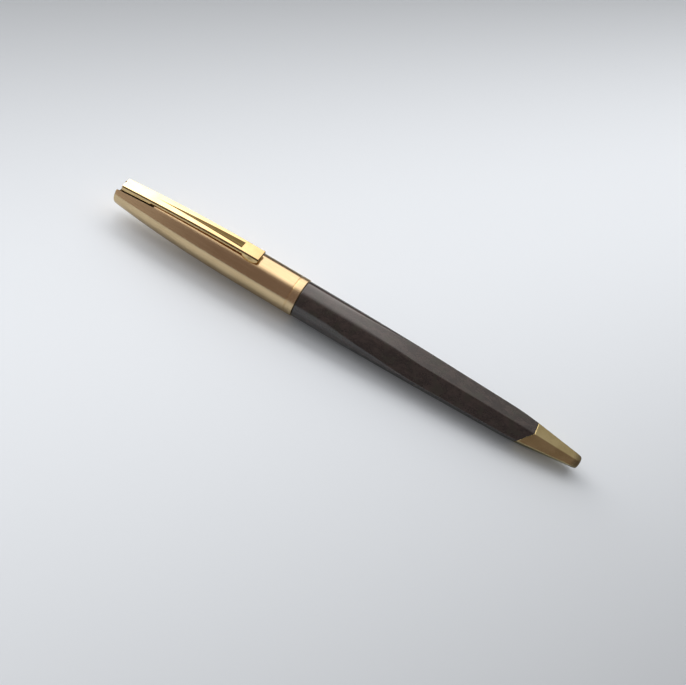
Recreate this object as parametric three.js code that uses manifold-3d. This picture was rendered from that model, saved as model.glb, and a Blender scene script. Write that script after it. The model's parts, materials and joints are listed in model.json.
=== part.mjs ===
import * as THREE from 'three';
import { mergeVertices } from 'three/addons/utils/BufferGeometryUtils.js';
import Module from 'manifold-3d';

// A twist-action ballpoint pen with its point drawn in. Millimetres.
// A station is a distance along the pen from the closed end of the cap. The clip is on top.

const wasm = await Module();
wasm.setup();

// Lengths along the pen
const penLength = 135.3;
const capLength = 54.8;
const noseLength = 16.15;
const tongueLength = 2.65;
const tipRecess = 1.2;
const pointTravel = 4;

// Clearances
const jointGap = 0.15;
const seamGap = 0.12;
const pressGap = 0.1;
const slideGap = 0.1;
const turnGap = 0.15;

// Cap
const lipRadius = 5.2;
const capEndRadius = 3.2;
const ogiveLength = 42;
const ogivePower = 2.4;
const capWall = 0.6;
const endWall = 1.6;
const capEndRound = 0.6;
const ringInset = 2.2;
const ringWidth = 0.36;
const ringDepth = 0.12;

// Hexagonal barrel and nose. The flats are planes that close in on the axis, then curve into the nose.
const barrelRadius = 5;
const flatClearance = 0.03;
const flatSlope = 0.024;
const noseSlope = 0.122;
const bendLength = 8.8;
const bendBehindNose = 5.5;
const facetCount = 6;
const collarLength = 2.8;
const fadeLength = 3;
const noseEndRound = 0.2;
const barrelBore = 3.15;
const socketDepth = 7;
const socketWall = 1;
const spigotLength = 6.6;
const spigotWall = 0.45;
const noseBore = 2.1;
const barrelLinerWall = 0.3;

// Clip
const clipStart = 1.45;
const clipEnd = 41.75;
const clipRootWidth = 3.55;
const clipEndWidth = 4.1;
const clipRootHeight = 4.32;
const clipRise = 4.41;
const clipBow = 2.14;
const plateThickness = 0.7;
const clipSheet = 0.5;
const rootLength = 8.75;
const rootFloor = 1.6;
const notchLength = 1.15;
const sideDepth = 0.9;
const footLength = 4.6;
const footDepth = 2;
const footBulge = 0.3;
const footGap = 0.06;
const clipBevel = 0.15;
const slotGap = 0.22;
const slotRunOut = 1;
const grooveStart = 12.6;
const grooveEnd = 36.4;
const grooveWidth = 2.16;
const grooveDepth = 0.42;

// Clip pivot and its spring
const pivotStation = 8.9;
const pivotHeight = 2.7;
const pivotRadius = 0.5;
const pivotGap = 0.06;
const carrierLength = 11.4;
const carrierFloor = 0.75;
const postLength = 2.4;
const postAbovePivot = 1.1;
const clipSpringStation = 4.2;
const clipSpringWire = 0.3;
const clipSpringRadius = 0.6;
const clipSpringTurns = 3;

// Twist mechanism
const mechanismStart = 20;
const refillRadius = 1.6;
const plungerWall = 0.4;
const guideWall = 0.7;
const camWall = 0.7;
const linerWall = 0.4;
const sleeveLength = 18.6;
const plungerLength = 8;
const plungerInset = 2.5;
const plungerRecess = 2;
const pinInset = 3.5;
const pinRadius = 0.55;
const pinSeat = 1.1;
const retainerInset = 0.6;
const retainerThickness = 0.45;
const retainerDepth = 0.3;
const retainerRim = 0.7;
const washerThickness = 0.6;
const couplingInBarrel = 6.85;
const sealSection = 0.4;
const sealInset = 4.4;

// Refill
const refillWall = 0.25;
const plugFlange = 0.4;
const plugSpigot = 2.5;
const pointRadius = 1.1;
const pointLength = 20.7;
const pointSpigot = 3;
const pointCone = 3;
const ballRadius = 0.4;
const ballGap = 0.03;
const ballLip = 0.08;
const lipThickness = 0.04;
const inkBore = 0.2;
const inkUsed = 11;

// Return spring
const springWire = 0.4;
const springRadius = 1.5;
const springTurns = 10;
const springSeatInset = 8.7;

// Sizes that follow from the ones above
const barrelStart = capLength + jointGap;
const noseStart = penLength - noseLength;
const bendStart = noseStart - bendBehindNose;
const plungerRadius = refillRadius + plungerWall;
const guideBore = plungerRadius + slideGap;
const guideRadius = guideBore + guideWall;
const camBore = guideRadius + turnGap;
const camRadius = camBore + camWall;
const linerBore = camRadius + pressGap;
const linerRadius = linerBore + linerWall;
const capBore = linerRadius + pressGap;
const couplingRadius = capBore - turnGap;
const socketRadius = barrelRadius - socketWall;
const spigotRadius = noseBore + spigotWall;
const frontBore = spigotRadius + pressGap;
const retainerStart = mechanismStart + retainerInset;
const sleeveStart = retainerStart + retainerThickness + 2 * turnGap;
const sleeveEnd = sleeveStart + sleeveLength;
const washerStart = sleeveEnd + turnGap;
const couplingStart = washerStart + washerThickness + turnGap;
const couplingEnd = barrelStart + couplingInBarrel;
const guideEnd = couplingEnd - 1;
const plungerStart = mechanismStart + plungerInset;
const pinStation = plungerStart + pinInset;
const refillStart = plungerStart + plungerLength - plungerRecess + seamGap;
const ballStation = penLength - tipRecess - ballRadius;
const pointStart = ballStation - pointLength;
const refillBore = refillRadius - refillWall;
const springSeat = penLength - springSeatInset;
const spigotStart = noseStart - spigotLength;
const slotEnd = clipStart + rootLength + notchLength;
const roundSides = 36;
const innerSides = 24;
const smallSides = 12;
const beyond = 12;

// Radius of the cap's outside at a station: a curve that swells from the closed end to the lip
function capRadius(station) {
  const left = Math.max(0, 1 - station / ogiveLength);
  return lipRadius - (lipRadius - capEndRadius) * left ** ogivePower;
}

// Distance from the axis to each flat of the barrel and nose at a station
function flatHeight(station) {
  const plane = lipRadius + flatClearance - flatSlope * (station - capLength);
  const turn = noseSlope - flatSlope;
  const inBend = Math.min(Math.max(station - bendStart, 0), bendLength);
  const pastBend = Math.max(station - bendStart - bendLength, 0);
  return plane - (turn * inBend * inBend) / (2 * bendLength) - turn * pastBend;
}

// Height of the clip's top face above the axis at a station
function clipHeight(station) {
  const along = (station - clipStart) / (clipEnd - clipStart);
  return clipRootHeight + clipRise * along - clipBow * along * along;
}

function clipWidth(station) {
  const along = (station - clipStart) / (clipEnd - clipStart);
  return clipRootWidth + (clipEndWidth - clipRootWidth) * Math.sqrt(Math.max(along, 0));
}

// A closed geometry as a solid that can be joined and cut, with its faces turned to point outwards
function solid(geometry) {
  geometry.deleteAttribute('normal');
  geometry.deleteAttribute('uv');
  const merged = mergeVertices(geometry, 1e-5);
  const places = merged.attributes.position;
  const index = merged.index.array;
  const corners = [];
  const a = new THREE.Vector3();
  const b = new THREE.Vector3();
  const c = new THREE.Vector3();
  let volume = 0;
  for (let i = 0; i < index.length; i += 3) {
    const [p, q, r] = index.slice(i, i + 3);
    if (p !== q && q !== r && r !== p) {
      corners.push(p, q, r);
      a.fromBufferAttribute(places, p);
      b.fromBufferAttribute(places, q);
      c.fromBufferAttribute(places, r);
      volume += a.dot(b.cross(c));
    }
  }
  if (volume < 0) {
    corners.reverse();
  }
  const mesh = new wasm.Mesh({
    numProp: 3,
    vertProperties: new Float32Array(places.array),
    triVerts: new Uint32Array(corners),
  });
  return new wasm.Manifold(mesh);
}

// A solid turned about the pen's axis from [station, radius] pairs that go round its section
function turned(profile, sides) {
  const points = profile.map(([station, radius]) => new THREE.Vector2(radius, station));
  const geometry = new THREE.LatheGeometry(points, sides);
  geometry.rotateZ(-Math.PI / 2);
  return solid(geometry);
}

function tube(start, end, outer, inner, sides) {
  return turned([[start, inner], [start, outer], [end, outer], [end, inner], [start, inner]], sides);
}

function rod(start, end, radius, sides) {
  return turned([[start, 0], [start, radius], [end, radius], [end, 0]], sides);
}

function outlineShape(outline) {
  return new THREE.Shape(outline.map(([x, y]) => new THREE.Vector2(x, y)));
}

// An outline of [station, height] pairs made solid from side to side, turned about the axis
function acrossPen(outline, halfWidth, turn = 0) {
  const settings = { depth: 2 * halfWidth, bevelEnabled: false };
  const geometry = new THREE.ExtrudeGeometry(outlineShape(outline), settings);
  geometry.translate(0, 0, -halfWidth);
  geometry.rotateX(Math.PI / 2 + turn);
  return solid(geometry);
}

// An outline of [station, side] pairs made solid upwards from one height to another
function upright(outline, low, high) {
  const settings = { depth: high - low, bevelEnabled: false };
  const geometry = new THREE.ExtrudeGeometry(outlineShape(outline), settings);
  geometry.translate(0, 0, low);
  return solid(geometry);
}

function block(start, end, halfWidth, low, high) {
  const geometry = new THREE.BoxGeometry(end - start, 2 * halfWidth, high - low);
  geometry.translate((start + end) / 2, 0, (low + high) / 2);
  return solid(geometry);
}

// A round pin that lies across the pen between two sides
function crossPin(station, height, radius, from, to) {
  const geometry = new THREE.CylinderGeometry(radius, radius, to - from, smallSides);
  geometry.translate(station, (from + to) / 2, height);
  return solid(geometry);
}

function sphere(station, radius) {
  const geometry = new THREE.SphereGeometry(radius, smallSides, smallSides);
  geometry.translate(station, 0, 0);
  return solid(geometry);
}

// A closed skin over a row of rings of points, with a fan across each end
function skin(rings) {
  const count = rings[0].length;
  const faces = [];
  for (let i = 0; i + 1 < rings.length; i += 1) {
    for (let j = 0; j < count; j += 1) {
      const here = i * count + j;
      const next = i * count + ((j + 1) % count);
      faces.push(here, next, here + count);
      faces.push(next, next + count, here + count);
    }
  }
  const last = (rings.length - 1) * count;
  for (let j = 1; j + 1 < count; j += 1) {
    faces.push(0, j + 1, j);
    faces.push(last, last + j, last + j + 1);
  }
  const geometry = new THREE.BufferGeometry();
  const numbers = rings.flat().flatMap((point) => point.toArray());
  geometry.setAttribute('position', new THREE.Float32BufferAttribute(numbers, 3));
  geometry.setIndex(faces);
  return solid(geometry);
}

// The point of a coil's centre line a number of steps along, with 8 steps to a curl
const curlSteps = 8;
const wireSides = 5;

function coilPoint(step, turns, radius, length) {
  const angle = (step / curlSteps) * 2 * Math.PI;
  const rise = (length * step) / (turns * curlSteps);
  return new THREE.Vector3(rise, radius * Math.cos(angle), radius * Math.sin(angle));
}

// The least distance between two curls' surfaces
function coilGap(wire, turns, radius, length) {
  const points = [];
  for (let step = 0; step <= turns * curlSteps; step += 1) {
    points.push(coilPoint(step, turns, radius, length));
  }
  let least = Infinity;
  for (let i = 0; i < points.length; i += 1) {
    for (let j = i + curlSteps / 2; j < points.length; j += 1) {
      least = Math.min(least, points[i].distanceTo(points[j]) - wire);
    }
  }
  return least;
}

// A coil of round wire along X, as one unbroken tube, with its wire's ends square to the wire
function coil(name, wire, turns, radius, length) {
  const rings = [];
  for (let step = 0; step <= turns * curlSteps; step += 1) {
    const centre = coilPoint(step, turns, radius, length);
    const ahead = coilPoint(step + 0.01, turns, radius, length).sub(centre).normalize();
    const outward = new THREE.Vector3(0, centre.y, centre.z).normalize();
    const sideways = new THREE.Vector3().crossVectors(ahead, outward);
    const ring = [];
    for (let side = 0; side < wireSides; side += 1) {
      const angle = (side / wireSides) * 2 * Math.PI;
      const point = centre.clone();
      point.addScaledVector(outward, (wire / 2) * Math.cos(angle));
      point.addScaledVector(sideways, (wire / 2) * Math.sin(angle));
      ring.push(point);
    }
    rings.push(ring);
  }
  console.log(`${name}: least gap between curls ${coilGap(wire, turns, radius, length).toFixed(2)} mm`);
  return skin(rings);
}

// Cap

function capProfile(offset, from, to) {
  const steps = 9;
  const points = [];
  for (let i = 0; i <= steps; i += 1) {
    const station = from + (to - from) * (i / steps) ** 1.5;
    points.push([station, capRadius(station) - offset]);
  }
  return points;
}

function capOutside() {
  const cornerStart = capEndRadius - capEndRound;
  const round = [];
  for (let i = 0; i <= 3; i += 1) {
    const angle = (i / 3) * (Math.PI / 2);
    const rise = capRadius(capEndRound) - capEndRadius;
    round.push([
      capEndRound * (1 - Math.cos(angle)),
      cornerStart + (capEndRound + rise) * Math.sin(angle),
    ]);
  }
  return [[0, 0], ...round, ...capProfile(0, capEndRound, ogiveLength).slice(1)];
}

// The ring cut round the cap just before its lip
function ringNotch() {
  const ring = capLength - ringInset;
  return [
    [ring - ringWidth / 2, lipRadius],
    [ring, lipRadius - ringDepth],
    [ring + ringWidth / 2, lipRadius],
  ];
}

function capShell() {
  const lip = [[capLength, lipRadius], [capLength, capBore], [mechanismStart, capBore]];
  const inside = capProfile(capWall, endWall, mechanismStart).reverse();
  const shell = turned([...capOutside(), ...ringNotch(), ...lip, ...inside, [endWall, 0]], roundSides);
  return shell.subtract(clipSlot(carrierFloor));
}

// The clip's outline seen from above between two stations, drawn in all along its sides by a margin
function clipPlan(start, end, margin) {
  const steps = 6;
  const near = [];
  for (let i = 0; i <= steps; i += 1) {
    const station = start + (end - start) * (i / steps) ** 2;
    near.push([station, margin - clipWidth(station) / 2]);
  }
  const far = near.map(([station, side]) => [station, -side]).reverse();
  return [...near, ...far];
}

// The opening that the clip's root passes down through, from a height upwards. It runs out at the
// closed end.
function clipSlot(low) {
  return upright(clipPlan(-slotRunOut, slotEnd, -slotGap), low, beyond);
}

// Clip

function clipTop(drop) {
  const steps = 10;
  const points = [];
  for (let i = 0; i <= steps; i += 1) {
    const station = clipStart + ((clipEnd - clipStart) * i) / steps;
    points.push([station, clipHeight(station) - drop]);
  }
  return points;
}

// The rounded foot near the clip's free end, as points along its underside from the end inwards
function footUnderside() {
  const steps = 6;
  const points = [];
  for (let i = 0; i <= steps; i += 1) {
    const station = clipEnd - (footLength * i) / steps;
    const swell = Math.sin((Math.PI * i) / steps);
    const drop = sideDepth + (footDepth - sideDepth) * swell;
    points.push([station, clipHeight(station) - drop]);
  }
  return points;
}

// The clip seen from the side: a deep root in the cap, a shallow arm and a rounded foot
function clipSide() {
  const rootEnd = clipStart + rootLength;
  const top = clipTop(0).slice(1);
  const high = clipHeight(clipStart);
  const tail = [[clipStart, high - clipBevel], [clipStart + clipBevel, high]];
  const arm = [];
  for (let i = 1; i <= 5; i += 1) {
    const station = clipEnd - footLength + ((rootEnd - clipEnd + footLength) * i) / 5;
    arm.push([station, clipHeight(station) - sideDepth]);
  }
  const root = [[rootEnd, rootFloor], [clipStart, rootFloor]];
  return [...tail, ...top, ...footUnderside(), ...arm, ...root];
}

// The hollow under the plate, between the clip's two sides, which stops at the foot
function clipHollow() {
  const under = clipTop(plateThickness);
  const below = acrossPen([...under, [clipEnd, 0], [clipStart, 0]], beyond);
  const length = block(clipStart + clipSheet, clipEnd - footLength, beyond, 0, beyond);
  return below.intersect(upright(clipPlan(clipStart, clipEnd, clipSheet), 0, beyond)).intersect(length);
}

// The trough pressed into the top face, a V that widens and deepens towards the foot
function clipGroove() {
  const rings = [];
  const steps = 6;
  for (let i = 0; i <= steps; i += 1) {
    const share = Math.max(i / steps, 0.04);
    const station = grooveStart + ((grooveEnd - grooveStart) * i) / steps;
    const top = clipHeight(station);
    const floor = top - grooveDepth * share;
    const half = (grooveWidth / 2) * share;
    const ring = [[0, floor], [half, top], [half, top + 1], [-half, top + 1], [-half, top]];
    rings.push(ring.map(([side, height]) => new THREE.Vector3(station, side, height)));
  }
  return skin(rings);
}

// The rounded foot under the clip's free end, a little wider than the plate
function clipFoot() {
  const start = clipEnd - footLength;
  const under = clipTop(plateThickness).filter(([station]) => station > start && station < clipEnd);
  const top = [[start, clipHeight(start) - plateThickness], ...under];
  return acrossPen([...top, ...footUnderside()], clipEndWidth / 2 + footBulge);
}

function clip() {
  const body = acrossPen(clipSide(), beyond).intersect(upright(clipPlan(clipStart, clipEnd, 0), 0, beyond));
  const surface = capProfile(-footGap, slotEnd, capLength);
  const capSurface = turned([[slotEnd, 0], ...surface, [capLength, 0]], roundSides);
  const hole = crossPin(pivotStation, pivotHeight, pivotRadius + pivotGap, -beyond, beyond);
  const shaped = body.subtract(clipHollow()).subtract(clipGroove()).add(clipFoot());
  return shaped.subtract(capSurface).subtract(hole);
}

// The plug in the cap's end that carries the clip's pivot on a post and its spring on a flat floor
function clipCarrier() {
  const start = endWall + seamGap;
  const end = start + carrierLength;
  const outside = capProfile(capWall + pressGap, start, end);
  const plug = turned([[start, 0], ...outside, [end, 0]], innerSides);
  const opened = plug.subtract(clipSlot(carrierFloor));
  const postHalf = clipWidth(pivotStation) / 2 - clipSheet - slotGap;
  const postStart = pivotStation - postLength / 2;
  const post = block(postStart, postStart + postLength, postHalf, 0, pivotHeight + postAbovePivot);
  const hole = crossPin(pivotStation, pivotHeight, pivotRadius + pivotGap, -beyond, beyond);
  return opened.add(post).subtract(hole);
}

function clipPin() {
  const half = clipWidth(pivotStation) / 2 - pivotGap;
  return crossPin(pivotStation, pivotHeight, pivotRadius, -half, half);
}

// Twist mechanism

function capLiner() {
  return tube(sleeveStart, sleeveEnd, linerRadius, linerBore, innerSides);
}

// The sleeve that turns with the cap. Its helical slot draws the pin along as it turns by half a turn.
function camSleeve() {
  const sleeve = tube(sleeveStart, sleeveEnd, camRadius, camBore, roundSides);
  const lead = Math.atan(pointTravel / (Math.PI * camRadius));
  const halfSlot = (pinRadius + turnGap) / Math.cos(lead);
  const overrun = (pinRadius + turnGap) / camBore;
  const steps = 14;
  const rings = [];
  for (let i = 0; i <= steps; i += 1) {
    const turn = -overrun + ((Math.PI + 2 * overrun) * i) / steps;
    const station = pinStation + (pointTravel * turn) / Math.PI;
    const ring = [[-1, camBore - 0.3], [1, camBore - 0.3], [1, camRadius + 0.3], [-1, camRadius + 0.3]];
    rings.push(ring.map(([side, radius]) => new THREE.Vector3(
      station + side * halfSlot,
      radius * Math.cos(-turn),
      radius * Math.sin(-turn),
    )));
  }
  return sleeve.subtract(skin(rings));
}

// The fixed sleeve that guides the plunger, with a straight slot for its pin and a groove for the retainer
function guideSleeve() {
  const floor = guideRadius - retainerDepth - pressGap;
  const grooveEdge = retainerStart - pressGap;
  const grooveFar = retainerStart + retainerThickness + pressGap;
  const sleeve = turned([
    [mechanismStart, guideBore],
    [mechanismStart, guideRadius],
    [grooveEdge, guideRadius],
    [grooveEdge, floor],
    [grooveFar, floor],
    [grooveFar, guideRadius],
    [guideEnd, guideRadius],
    [guideEnd, guideBore],
    [mechanismStart, guideBore],
  ], innerSides);
  const half = pinRadius + turnGap;
  const outline = [
    [pinStation - half, 0],
    [pinStation + pointTravel + half, 0],
    [pinStation + pointTravel + half, beyond],
    [pinStation - half, beyond],
  ];
  return sleeve.subtract(upright(outline, -half, half));
}

function retainingRing() {
  const ring = tube(
    retainerStart,
    retainerStart + retainerThickness,
    guideRadius + retainerRim,
    guideRadius - retainerDepth,
    innerSides,
  );
  return ring.subtract(block(0, penLength, guideRadius / 2, -beyond, 0));
}

function thrustWasher() {
  return tube(washerStart, washerStart + washerThickness, linerRadius, guideRadius + slideGap, innerSides);
}

// The bush that joins the two halves: the cap turns on its rear, and its front is screwed in the barrel
function centreCoupling() {
  const seal = couplingStart + sealInset;
  const sealFloor = couplingRadius - 2 * sealSection - slideGap + turnGap;
  const half = sealSection + slideGap;
  const bore = guideRadius + pressGap;
  return turned([
    [couplingStart, bore],
    [couplingStart, couplingRadius],
    [seal - half, couplingRadius],
    [seal - half, sealFloor - slideGap],
    [seal + half, sealFloor - slideGap],
    [seal + half, couplingRadius],
    [capLength, couplingRadius],
    [barrelStart, socketRadius - pressGap],
    [couplingEnd, socketRadius - pressGap],
    [couplingEnd, bore],
    [couplingStart, bore],
  ], roundSides);
}

// The rubber ring that gives the turning cap its steady drag
function frictionRing() {
  const middle = capBore - sealSection - slideGap;
  const geometry = new THREE.TorusGeometry(middle, sealSection, 8, innerSides);
  geometry.rotateY(Math.PI / 2);
  geometry.translate(couplingStart + sealInset, 0, 0);
  return solid(geometry);
}

function plunger() {
  const end = plungerStart + plungerLength;
  const body = turned([
    [plungerStart, 0],
    [plungerStart, plungerRadius],
    [end, plungerRadius],
    [end, refillRadius + pressGap],
    [end - plungerRecess, refillRadius + pressGap],
    [end - plungerRecess, 0],
  ], innerSides);
  return body.subtract(crossPin(pinStation, 0, pinRadius + pivotGap, plungerRadius - pinSeat, beyond));
}

function plungerPin() {
  return crossPin(pinStation, 0, pinRadius, plungerRadius - pinSeat + pivotGap, camRadius - slideGap);
}

// Barrel and nose

// The round blank that the flats are cut on, from the joint with the cap to the mouth
function roundBlank() {
  const collarStart = penLength - collarLength;
  const fadeStart = collarStart - fadeLength;
  const corner = 1 / Math.cos(Math.PI / facetCount);
  const endRadius = flatHeight(penLength - noseEndRound);
  return turned([
    [barrelStart, 0],
    [barrelStart, barrelRadius],
    [bendStart, barrelRadius],
    [fadeStart, flatHeight(fadeStart) * corner],
    [collarStart, flatHeight(collarStart)],
    [penLength - noseEndRound, endRadius],
    [penLength, endRadius - noseEndRound],
    [penLength, 0],
  ], roundSides);
}

// What is cut away above one flat, turned to that flat's place round the axis
function flatCutter(turn) {
  const bendSteps = 6;
  const outline = [[capLength, flatHeight(capLength)]];
  for (let i = 0; i <= bendSteps; i += 1) {
    const station = bendStart + (bendLength * i) / bendSteps;
    outline.push([station, flatHeight(station)]);
  }
  const end = penLength + 1;
  outline.push([end, flatHeight(end)], [end, beyond], [capLength, beyond]);
  return acrossPen(outline, beyond, turn);
}

function facetedBody() {
  let body = roundBlank();
  for (let i = 0; i < facetCount; i += 1) {
    body = body.subtract(flatCutter((i * 2 * Math.PI) / facetCount));
  }
  return body;
}

// Everything forward of the seam between barrel and nose. It is square below the axis, and above it
// it slopes forward, so the barrel ends in a tongue on the clip's side.
function noseRegion(shift) {
  const seam = noseStart + shift;
  const slope = tongueLength / flatHeight(noseStart + tongueLength);
  return acrossPen([
    [seam, -beyond],
    [penLength + beyond, -beyond],
    [penLength + beyond, beyond],
    [seam + slope * beyond, beyond],
    [seam, 0],
  ], beyond);
}

function barrel(body) {
  const socketEnd = barrelStart + socketDepth;
  const frontStart = spigotStart - seamGap;
  const bores = turned([
    [0, 0],
    [0, socketRadius],
    [socketEnd, socketRadius],
    [socketEnd, barrelBore],
    [frontStart, barrelBore],
    [frontStart, frontBore],
    [penLength + 1, frontBore],
    [penLength + 1, 0],
  ], innerSides);
  return body.subtract(noseRegion(0)).subtract(bores);
}

function noseCone(body) {
  const spigot = rod(spigotStart, noseStart + tongueLength, spigotRadius, innerSides);
  const mouth = pointRadius + turnGap;
  const bores = turned([
    [0, 0],
    [0, noseBore],
    [springSeat, noseBore],
    [springSeat, mouth],
    [penLength + 1, mouth],
    [penLength + 1, 0],
  ], innerSides);
  return body.intersect(noseRegion(seamGap)).add(spigot).subtract(bores);
}

function barrelLiner() {
  const outer = barrelBore - pressGap;
  const start = barrelStart + socketDepth + seamGap;
  return tube(start, spigotStart - 2 * seamGap, outer, outer - barrelLinerWall, innerSides);
}

// Refill

function refillTube() {
  return tube(refillStart + plugFlange + pressGap, pointStart, refillRadius, refillBore, innerSides);
}

function refillPlug() {
  const flangeEnd = refillStart + plugFlange;
  return turned([
    [refillStart, 0],
    [refillStart, refillRadius],
    [flangeEnd, refillRadius],
    [flangeEnd, refillBore - pressGap],
    [flangeEnd + plugSpigot, refillBore - pressGap],
    [flangeEnd + plugSpigot, 0],
  ], innerSides);
}

function inkColumn() {
  const start = refillStart + inkUsed;
  return rod(start, pointStart - pointSpigot - seamGap, refillBore - pressGap, innerSides);
}

function refillPoint() {
  const coneStart = ballStation - pointCone;
  const lip = ballStation + ballLip;
  const body = turned([
    [pointStart - pointSpigot, inkBore],
    [pointStart - pointSpigot, refillBore - pressGap],
    [pointStart, refillBore - pressGap],
    [pointStart, pointRadius],
    [coneStart, pointRadius],
    [lip, ballRadius + ballGap + lipThickness],
    [lip, inkBore],
    [pointStart - pointSpigot, inkBore],
  ], innerSides);
  return body.subtract(sphere(ballStation, ballRadius + ballGap));
}

// Colours and finishes

function finish(color, roughness, metalness) {
  return { color, roughness, metalness };
}

const brushedGold = finish(0xc9a25c, 0.32, 1);
const polishedGold = finish(0xe3bd6f, 0.14, 1);
const noseGold = finish(0xa89362, 0.28, 1);
const brownLacquer = finish(0x2a1f1a, 0.12, 0);
const plainBrass = finish(0xb08d4a, 0.4, 1);
const steel = finish(0x9a9a9c, 0.35, 1);
const whitePlastic = finish(0xdcdcd4, 0.5, 0);
const blackRubber = finish(0x1c1c1c, 0.8, 0);
const blueInk = finish(0x14235f, 0.6, 0);
const carbide = finish(0x5c5e62, 0.3, 1);

// A named mesh of a solid, put into a group
function addPiece(group, name, piece, look) {
  const data = piece.getMesh();
  const geometry = new THREE.BufferGeometry();
  geometry.setAttribute('position', new THREE.BufferAttribute(new Float32Array(data.vertProperties), 3));
  geometry.setIndex(new THREE.BufferAttribute(new Uint32Array(data.triVerts), 1));
  geometry.computeVertexNormals();
  const mesh = new THREE.Mesh(geometry, new THREE.MeshStandardMaterial({ ...look, flatShading: true }));
  mesh.name = name;
  group.add(mesh);
  return mesh;
}

function barrelGroup() {
  const group = new THREE.Group();
  const body = facetedBody();
  addPiece(group, 'barrel', barrel(body), brownLacquer);
  addPiece(group, 'nose_cone', noseCone(body), noseGold);
  addPiece(group, 'barrel_liner', barrelLiner(), plainBrass);
  addPiece(group, 'centre_coupling', centreCoupling(), plainBrass);
  addPiece(group, 'guide_sleeve', guideSleeve(), plainBrass);
  addPiece(group, 'retaining_ring', retainingRing(), steel);
  addPiece(group, 'thrust_washer', thrustWasher(), whitePlastic);
  addPiece(group, 'friction_ring', frictionRing(), blackRubber);
  const springStart = pointStart + seamGap + springWire / 2;
  const springLength = springSeat - seamGap - springWire / 2 - springStart;
  const spring = coil('return spring', springWire, springTurns, springRadius, springLength);
  addPiece(group, 'return_spring', spring, steel).position.x = springStart;
  return group;
}

function clipGroup() {
  const group = new THREE.Group();
  addPiece(group, 'clip', clip(), polishedGold);
  return group;
}

function capGroup() {
  const group = new THREE.Group();
  addPiece(group, 'cap_shell', capShell(), brushedGold);
  addPiece(group, 'clip_carrier', clipCarrier(), plainBrass);
  addPiece(group, 'clip_pin', clipPin(), steel);
  const low = carrierFloor + seamGap + clipSpringWire / 2;
  const high = clipHeight(clipSpringStation) - plateThickness - seamGap - clipSpringWire / 2;
  const spring = coil('clip spring', clipSpringWire, clipSpringTurns, clipSpringRadius, high - low);
  const upright = addPiece(group, 'clip_spring', spring, steel);
  upright.rotation.y = -Math.PI / 2;
  upright.position.set(clipSpringStation, 0, low);
  addPiece(group, 'cap_liner', capLiner(), whitePlastic);
  addPiece(group, 'cam_sleeve', camSleeve(), whitePlastic);
  group.add(clipGroup());
  return group;
}

function refillGroup() {
  const group = new THREE.Group();
  addPiece(group, 'plunger', plunger(), whitePlastic);
  addPiece(group, 'plunger_pin', plungerPin(), steel);
  addPiece(group, 'refill_tube', refillTube(), plainBrass);
  addPiece(group, 'refill_plug', refillPlug(), whitePlastic);
  addPiece(group, 'ink_column', inkColumn(), blueInk);
  addPiece(group, 'refill_point', refillPoint(), plainBrass);
  const ball = addPiece(group, 'writing_ball', sphere(0, ballRadius), carbide);
  ball.position.x = ballStation;
  return group;
}

// The pen lies on the flat opposite the clip, so it leans down by that flat's slope. Its box stands
// centred on the origin.
function restingPen() {
  const leaning = new THREE.Group();
  leaning.add(barrelGroup(), capGroup(), refillGroup());
  leaning.rotation.y = Math.atan(flatSlope);
  leaning.updateMatrixWorld(true);
  const box = new THREE.Box3().setFromObject(leaning, true);
  const middle = box.getCenter(new THREE.Vector3());
  leaning.position.set(-middle.x, -middle.y, -box.min.z);
  const pen = new THREE.Group();
  pen.add(leaning);
  return pen;
}

export default restingPen();
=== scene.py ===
import json
import math

import bmesh
import bpy
import numpy as np
from mathutils import Matrix, Vector


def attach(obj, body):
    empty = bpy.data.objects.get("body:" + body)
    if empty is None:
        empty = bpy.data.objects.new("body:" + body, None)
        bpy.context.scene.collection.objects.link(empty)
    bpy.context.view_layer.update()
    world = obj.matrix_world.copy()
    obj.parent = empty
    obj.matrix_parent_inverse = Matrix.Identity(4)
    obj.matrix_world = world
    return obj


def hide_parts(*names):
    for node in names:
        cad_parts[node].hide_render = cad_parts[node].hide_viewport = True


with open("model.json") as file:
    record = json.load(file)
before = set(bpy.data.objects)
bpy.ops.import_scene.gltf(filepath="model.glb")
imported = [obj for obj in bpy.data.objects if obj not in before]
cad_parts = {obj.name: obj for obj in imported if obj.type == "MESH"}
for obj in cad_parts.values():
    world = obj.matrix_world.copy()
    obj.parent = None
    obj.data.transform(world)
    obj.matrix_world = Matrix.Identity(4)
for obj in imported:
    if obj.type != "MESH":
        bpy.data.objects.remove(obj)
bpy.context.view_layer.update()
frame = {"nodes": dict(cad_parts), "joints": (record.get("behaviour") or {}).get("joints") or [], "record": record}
print("frame loaded:", len(frame["nodes"]), "nodes")

# The pen frame: millimetres along the axis from the cap's closed end, with the clip on +Z.
mm = 0.001
capLength = 54.8
twist = next(j for j in frame["joints"] if j["name"] == "cap_twist")
penAxis = Vector(twist["axis"]).normalized()
penOrigin = Vector(twist["pos_m"]) - penAxis * capLength * mm
penLean = math.atan2(-penAxis.z, penAxis.x)
penTurn = Matrix.Rotation(penLean, 4, "Y")
penMatrix = Matrix.Translation(penOrigin) @ penTurn @ Matrix.Scale(mm, 4)


# Camera

cameraFit = {
    "place": (84.2, -127.3, 156.5),  # in the pen frame, mm
    "target": (69.49, 0.0, -6.84),
    "rollDegrees": 25.57,
    "focalPixels": 798.2,
    "imageWidth": 686,
    "sensorWidth": 36.0,
}


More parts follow.
